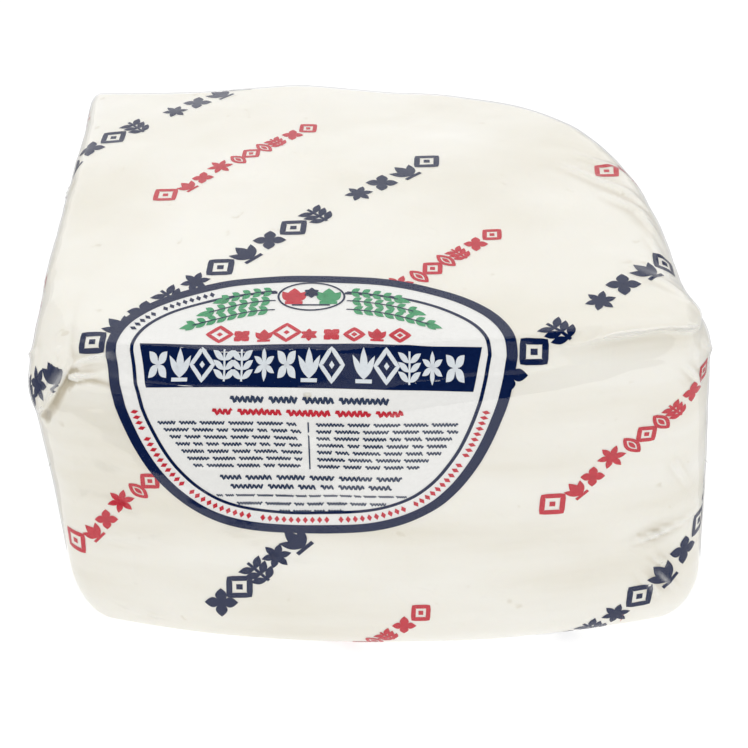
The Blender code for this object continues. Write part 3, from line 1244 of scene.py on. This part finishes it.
# %% Leaves and device
def sprig(side):
    """Three stems of leaves that leave the middle to one side and droop, one under the other."""
    marks, stems = [], []
    for top, reach, drop, gap in ((30.6, 20, 5, 5), (25.0, 26, 7, 4), (19.4, 32, 9, 3)):
        share = np.linspace(0, 1, 25)
        x = LABEL_X + side * (14 + share * reach)
        path = np.stack([x, top - drop * share**1.6], axis=-1)
        stems.append(stroke(path, 0.6))
        for step in range(3, 25, gap):
            for lean in (-1, 1):
                tip = path[step] + [side * 2.6, lean * 2.6 - 0.4]
                marks.append(blot(leaf(path[step - 1], tip, 2.5), 5))
        marks.append(blot(leaf(path[-3], path[-1] + [side * 5.0, -2.2], 2.8), 5))
    return marks, stems


def bar(x0, x1, t, height):
    """A level bar with square ends, as a stroke along its middle."""
    count = max(3, int((x1 - x0) / 1.5))
    return stroke(np.stack([np.linspace(x0, x1, count), np.full(count, t)], axis=-1), height)


left_leaves, left_stems = sprig(-1)
right_leaves, right_stems = sprig(1)
side_bud, SIDE_X, SIDE_T = bud(10.0, 2.7), 6.8, 22.8  # one right of the middle, and one left
green_bud = placed(side_bud, LABEL_X + SIDE_X, SIDE_T)
printed("label_leaves", left_leaves + right_leaves + green_bud, LEAVES, green_ink)

device_marks = [stroke(oval(DEVICE_WIDTH, DEVICE_HEIGHT, DEVICE, 64), 0.8, closed=True)]
device_marks += [bar(LABEL_X - 7.5, LABEL_X + 7.5, 22.2, 0.8)]
device_marks += placed(star(6.4, 1.9), LABEL_X, 26.6)
printed("label_device", device_marks + left_stems + right_stems, OVERPRINT, navy_ink)

# %% [markdown]
# ## Small print
#
# Small print is too fine to read from where the camera stands. Text objects could be turned
# into meshes, but with far too many faces. A wavy line with uneven peaks has the same grey
# from a distance, so a line is made of such waves, of random length and with gaps between.

# %% Dashes of small print
small_random = np.random.default_rng(12)
WAVE_PEAKS = small_random.uniform(0.6, 1.0, 200)
WAVE_LENGTH, DASH_GAP = 0.62, 0.75  # one wave and the gap between dashes, times the height
WAVE_POINTS, SHORTEST = 6, 0.4  # points to a wave, and the share of a length still worth a dash


def scribble(x0, x1, t, height, weight):
    """One dash of small print: a level sine wave with uneven peaks."""
    turns = (x1 - x0) / (height * WAVE_LENGTH)
    count = max(6, int(turns * WAVE_POINTS))
    phase = np.linspace(0, turns * 2 * math.pi, count)
    bends = np.arange(0, phase[-1] + 4, math.pi)
    peaks = np.interp(phase, bends, WAVE_PEAKS[: len(bends)])
    wave = t + peaks * np.sin(phase) * height / 2
    return stroke(np.stack([np.linspace(x0, x1, count), wave], axis=-1), weight)


def small_print(left, right, t, height, weight, length):
    """A line of dashes from left to right, each half to one and a half times the length."""
    marks, x = [], left
    while x < right - length * SHORTEST:
        end = min(x + length * small_random.uniform(0.5, 1.5), right)
        marks.append(scribble(x, end, t, height, weight))
        x = end + height * DASH_GAP
    return marks


print("peaks from", round(WAVE_PEAKS.min(), 2), "to", round(WAVE_PEAKS.max(), 2))

# %% Lines of small print
# Each line is (left, right, T, height, weight, length of a dash), all in millimetres.
text_lines = [(-50, 10, -24.2, 3.2, 1.0, 15)]
for line in range(7):
    t, inner = -35.2 - line * 3.55, line * 2.1  # the columns follow the border inwards
    text_lines += [(-79 + inner, -23.5, t, 2.1, 0.6, 7), (-17.5, 38.5 - inner, t, 2.1, 0.6, 7)]
text_lines += [
    (-56, 15, -62.4, 2.8, 0.8, 9),
    (-52, 11, -66.9, 2.8, 0.8, 9),
    (-58, 17, -71.4, 1.4, 0.4, 5),
    (-50, 9, -75.4, 1.9, 0.5, 7),
    (-33, -8, -79.0, 1.8, 0.5, 5),
]
text_marks = [mark for line in text_lines for mark in small_print(*line)]
text_marks.append(bar(-20.9, -20.3, -46, 24))  # the line between the two columns
printed("label_text", text_marks, INK, text_ink)

# %% Red marks and the ring of lozenges
red_label = placed(side_bud, LABEL_X - SIDE_X, SIDE_T)
RED_BAR_X, RED_BAR_T, RED_BAR_PITCH, RED_BAR_WEIGHT = LABEL_X - 34.8, 0.6, 8.7, 1.7
red_bar_shapes = (diamond, flower, bud, diamond, star, flower, diamond, bud, diamond)
red_bar_sizes = (9.6, 7.2, 7.2, 10.4, 7.2, 7.2, 7.2, 7.2, 7.2)
for item, (shape, size) in enumerate(zip(red_bar_shapes, red_bar_sizes)):
    marks = shape(size, RED_BAR_WEIGHT)
    red_label += placed(marks, RED_BAR_X + item * RED_BAR_PITCH, RED_BAR_T)
red_label += small_print(-57, 16, -29.6, 3.4, 1.1, 12)

RING_INSET, RING_COUNT = 6.9, 150
ring = label_outline(RING_INSET, RING_COUNT)
heading = np.roll(ring, -1, axis=0) - np.roll(ring, 1, axis=0)
heading /= np.linalg.norm(heading, axis=1, keepdims=True)
navy_ring = []
for item, ((x, t), (along_x, along_t)) in enumerate(zip(ring, heading)):
    turned = np.array([[along_x, along_t], [-along_t, along_x]])
    mark = blot(lozenge(2.1, 3.4, count=12) @ turned + [x, t], 3)
    if t < -28 and item % 11 != 0:  # red in the lower part, with a gap after every ten
        red_label.append(mark)
    if t > 6 and x < -58 and item % 9 != 0:  # navy at the upper left, with a gap after eight
        navy_ring.append(mark)
printed("label_red", red_label, INK, red_ink)
printed("label_dots", navy_ring, INK, navy_ink)

# %% [markdown]
# ## The film
#
# The film is clear and glossy. Glass would bend what lies behind it and cost many bounces,
# so a thin film is better made as a see-through shader mixed with a mirror-like one.
# Schlick's formula gives the mirrored share: a little head-on, and all of it at a graze.
# It is the same from both sides, so light that leaves the curd gets out again. Film that is
# folded or welded goes milky, so an attribute named milky mixes some white in.

# %% Film material
HEAD_ON = 0.05  # the share of light that the film mirrors when it is met head-on
film_look, tree = new_material("clear_film")
ripples = bump(tree, noise(tree, 42, 4), 0.35, 0.0008)
clear = add(tree, "BsdfTransparent")
shine = add(tree, "BsdfGlossy", {"Color": WHITE, "Roughness": 0.09, "Normal": ripples})
facing = add(tree, "LayerWeight", {"Blend": 0.5, "Normal": ripples})
steep = add(tree, "Math", {0: facing.outputs["Facing"], 1: 5.0})
steep.operation = "POWER"
mirrored = add(tree, "Math", {0: steep.outputs["Value"], 1: 1 - HEAD_ON, 2: HEAD_ON})
mirrored.operation = "MULTIPLY_ADD"
shares = {"Fac": mirrored.outputs["Value"], 1: clear.outputs["BSDF"], 2: shine.outputs["BSDF"]}
glossy = add(tree, "MixShader", shares)
milk = add(tree, "BsdfDiffuse", {"Color": (0.93, 0.93, 0.92, 1)})
shares = {"Fac": painted(tree, "milky"), 1: glossy.outputs["Shader"], 2: milk.outputs["BSDF"]}
milky = add(tree, "MixShader", shares)
add(tree, "OutputMaterial", {"Surface": milky.outputs["Shader"]})
print("clear_film:", len(tree.nodes), "nodes")

# %% Film mesh
STANDS_OUT, FOLD_MILK, LIP_MILK, MOST_MILK = 0.0014, 0.34, 0.55, 0.6
lip = crest_lip(skin_points, outward(skin_points)) / LIP_HEIGHT
milkiness = np.clip(-depth / STANDS_OUT, 0, 1) * FOLD_MILK + lip * LIP_MILK
milkiness = np.clip(milkiness, 0, MOST_MILK) * on_show
print((milkiness > 0.2).sum(), "points of the film are milky")
wrap_block("film", FILM, film_look, "milky", milkiness)

# %% [markdown]
# ## The seals at both ends
#
# A shrink bag is a tube that is welded shut at its ends. The weld stands off as a thin fin
# of two layers, which shrinks tight and lies down against the end wall. Each fin is a grid
# that starts on the wall half-way up and hangs down, with fine ribs from the welding bar.
# A flat strip with a Solidify modifier would be quicker, but wouldn't follow the bowed wall.

# %% Seal fins
SEAL_WIDTH, SEAL_HEIGHT, SEAL_X = 0.0095, 0.0745, 0.13
SEAL_STEPS, SEAL_LANES = 420, 14
RIB_HEIGHT, RIB_PITCH = 0.00014, 0.0013


def on_wall(points):
    """Points near the skin drawn straight onto it."""
    for _ in range(4):
        points = points - outward(points) * beyond_skin(points)[..., None]
    return points


def seal_fin(name, side, front, back):
    """One fin: y runs along it, and depth from its weld down to its free edge.

    The wall under it is found first. Its height over that wall then grows with the depth to
    the power of 1.5, wavers in sines along y, and has a sine of ribs in its middle.
    """
    lines = np.linspace(front, back, SEAL_STEPS), np.linspace(0, 1, SEAL_LANES)
    y, depth = np.meshgrid(*lines, indexing="ij")
    share = (y - front) / (back - front)
    taper = np.clip(np.minimum(share, 1 - share) / 0.09, 0.04, 1) ** 0.7
    drop = depth * SEAL_WIDTH * taper * (1 + 0.06 * np.sin(y * 410 + side))
    z = SEAL_HEIGHT - drop + 0.0012 * np.sin(y * 55 + 2 * side)
    wall = on_wall(np.stack([np.full_like(y, side * SEAL_X), y, z], axis=-1).reshape(-1, 3))
    stand = 0.0005 + 0.0012 * depth**1.5 * (0.6 + 0.4 * np.sin(y * 140 + depth * 2))
    ribs = RIB_HEIGHT * np.sin(y * 2 * math.pi / RIB_PITCH) * (depth > 0.15) * (depth < 0.85)
    height = relief(wall, outward(wall)) + FILM + (stand + ribs).ravel()
    fin = wall + outward(wall) * height[:, None]
    piece = make_piece(name, fin, grid_faces(SEAL_STEPS, SEAL_LANES)[:, ::side], film_look)
    keep_values(piece, "milky", 0.16 + 0.18 * (ribs > 0))


seal_fin("seal_left", -1, -0.088, 0.102)
seal_fin("seal_right", 1, -0.086, 0.060)

# %% [markdown]
# ## Floor and light
#
# The pack stands on a white table with light all round it, and hardly throws a shadow. A
# table that glows a little and a white world give that more simply than many lamps. Glossy
# film also mirrors what stands around it. A real studio has dark and bright walls, so cards
# that only mirrored light can see stand in for them: a dark room in front keeps the ink on
# the front deep, and bright panels behind make the ink on top hazy.


# %% Floor
def sheet(corner, side, rise):
    """The four corners of a flat piece, from one of them and its two sides as arrows."""
    corner, side, rise = np.array(corner), np.array(side), np.array(rise)
    return [corner, corner + side, corner + side + rise, corner + rise]


def stage_plane(name, corners, material):
    """A flat piece of the stage."""
    mesh = bpy.data.meshes.new(name)
    mesh.from_pydata([tuple(corner) for corner in corners], [], [tuple(range(len(corners)))])
    mesh.materials.append(material)
    plane = bpy.data.objects.new(name, mesh)
    bpy.context.scene.collection.objects.link(plane)
    print(f"{name}: a flat piece with {len(corners)} corners")
    return plane


def glow(name, strength, colour=WHITE, diffuse=BLACK):
    """A matt surface that also gives off light."""
    material, tree = new_material(name)
    shader = add(tree, "BsdfPrincipled", {
        "Base Color": diffuse,
        "Roughness": 0.8,
        "Specular IOR Level": 0.0,
        "Emission Color": colour,
        "Emission Strength": strength,
    })
    add(tree, "OutputMaterial", {"Surface": shader.outputs["BSDF"]})
    return material


table_look = glow("lit_table", 0.83, diffuse=(0.3, 0.3, 0.3, 1))
stage_plane("table", sheet((-9, -9, 0), (18, 0, 0), (0, 18, 0)), table_look)


# %% Cards that only reflections see
def card(name, corners, material, diffuse=False):
    """A stage piece that the camera doesn't see, nor, unless diffuse, any but mirrored light."""
    plane = stage_plane(name, corners, material)
    plane.visible_camera = False
    plane.visible_diffuse = diffuse
    plane.visible_shadow = diffuse
    plane.visible_transmission = diffuse


dark_look = glow("dark_room", 0.05, colour=(0.5, 0.52, 0.6, 1))
dim_look = glow("dim_panel", 0.55)
sky_look = glow("sky_panel", 1.4)

# The low card lies in front. Its edge is near the pack at the left and draws away to the right.
LOW_LEVEL, LOW_LEFT, LOW_RIGHT, LOW_FRONT = 0.001, -1.1, 2.4, -3
low_edge = [(0.12, -0.42), (0.05, -0.29), (-0.02, -0.225), (-0.15, -0.205)]
low_outline = [(LOW_RIGHT, LOW_FRONT), (LOW_RIGHT, -0.9)] + low_edge
low_outline += [(LOW_LEFT, -0.19), (LOW_LEFT, LOW_FRONT)]
card("low_card", [(x, y, LOW_LEVEL) for x, y in low_outline], dark_look)

ROOM, ROOM_FOOT = 1.6, 0.1  # how far away the room's round wall stands, and its middle's height
for name, start, end, look in (
    ("room_low", -2, 46, dark_look),
    ("room_panel", 46, 62, dim_look),
    ("room_high", 62, 96, dark_look),
):
    angles = np.radians([start, end])
    (y0, y1), (z0, z1) = -ROOM * np.cos(angles), ROOM_FOOT + ROOM * np.sin(angles)
    card(name, sheet((-1.2, y0, z0), (3.6, 0, 0), (0, y1 - y0, z1 - z0)), look)

card("sky_panel", sheet((-1.6, 1.6, 0.35), (2.6, 0, 0), (0, -0.3, 1.55)), sky_look)
card("right_card", sheet((1.2, -0.3, 0), (0, 2.1, 0), (0, 0, 1)), dim_look)
card("rear_card", sheet((-3, -0.06, 0.0008), (6, 0, 0), (0, 4.06, 0)), dim_look)
card("left_card", sheet((-0.8, -1.3, 0), (0, 1.15, 0), (0, 0, 0.8)), dim_look, diffuse=True)

# %% World
WORLD_STRENGTH = 0.85
world = bpy.data.worlds.new("studio")
bpy.context.scene.world = world
world.use_nodes = True
background = world.node_tree.nodes["Background"]
background.inputs["Color"].default_value = WHITE
background.inputs["Strength"].default_value = WORLD_STRENGTH
print("a white world of strength", WORLD_STRENGTH)


# %% Lamp
def looking(right, up, forward, place):
    """The matrix of a lamp or camera: its own axes are right, up and backwards."""
    matrix = np.eye(4)
    matrix[:3] = np.stack([right, up, -forward, place], axis=-1)
    return Matrix(matrix.tolist())


def lamp(name, place, target, size, power):
    """A square area lamp that faces its target, and that the film doesn't mirror."""
    data = bpy.data.lights.new(name, "AREA")
    data.shape = "SQUARE"
    data.size = size
    data.energy = power
    lamp_object = bpy.data.objects.new(name, data)
    lamp_object.visible_glossy = False
    bpy.context.scene.collection.objects.link(lamp_object)
    forward = np.array(target, float) - place
    forward /= np.linalg.norm(forward)
    right = np.cross(forward, [0, 0, 1])
    right /= np.linalg.norm(right)
    lamp_object.matrix_world = looking(right, np.cross(right, forward), forward, np.array(place))
    print(f"{name}: {power} W from {np.linalg.norm(np.array(target) - place):.2f} m away")


lamp("top_lamp", (-0.25, -0.38, 1.05), (0, 0, 0.08), 0.6, 2.2)

# %% [markdown]
# ## The camera
#
# The camera stands 0.64 m in front of the block's middle and looks down at 36 degrees, with a
# long lens. A Track To constraint could aim it, but its place and its three angles were
# fitted to the block's outline and to the spacing of the print. So they are kept as numbers
# that can be read one by one, and the matrix is worked out from them.

# %% Camera
PITCH, YAW, ROLL = math.radians(35.78), math.radians(-0.88), math.radians(-0.305)
FOCAL_PIXELS, FRAME_PIXELS, SENSOR = 1700, 748, 36.0
CAMERA_PLACE = np.array([0.0124, -0.6357, 0.5156]) - CENTRE

level = np.array([math.sin(YAW), math.cos(YAW), 0])
forward = level * math.cos(PITCH) - np.array([0, 0, math.sin(PITCH)])
level_right = np.array([math.cos(YAW), -math.sin(YAW), 0])
level_up = np.cross(level_right, forward)
right = level_right * math.cos(ROLL) + level_up * math.sin(ROLL)
up = -level_right * math.sin(ROLL) + level_up * math.cos(ROLL)
camera_data = bpy.data.cameras.new("camera")
camera_data.sensor_width = SENSOR
camera_data.lens = FOCAL_PIXELS / FRAME_PIXELS * SENSOR
camera = bpy.data.objects.new("camera", camera_data)
bpy.context.scene.collection.objects.link(camera)
camera.matrix_world = looking(right, up, forward, CAMERA_PLACE)
bpy.context.scene.camera = camera
bpy.context.scene.view_settings.view_transform = "Standard"
print("lens of", round(camera_data.lens, 1), "mm at", np.round(CAMERA_PLACE, 3))
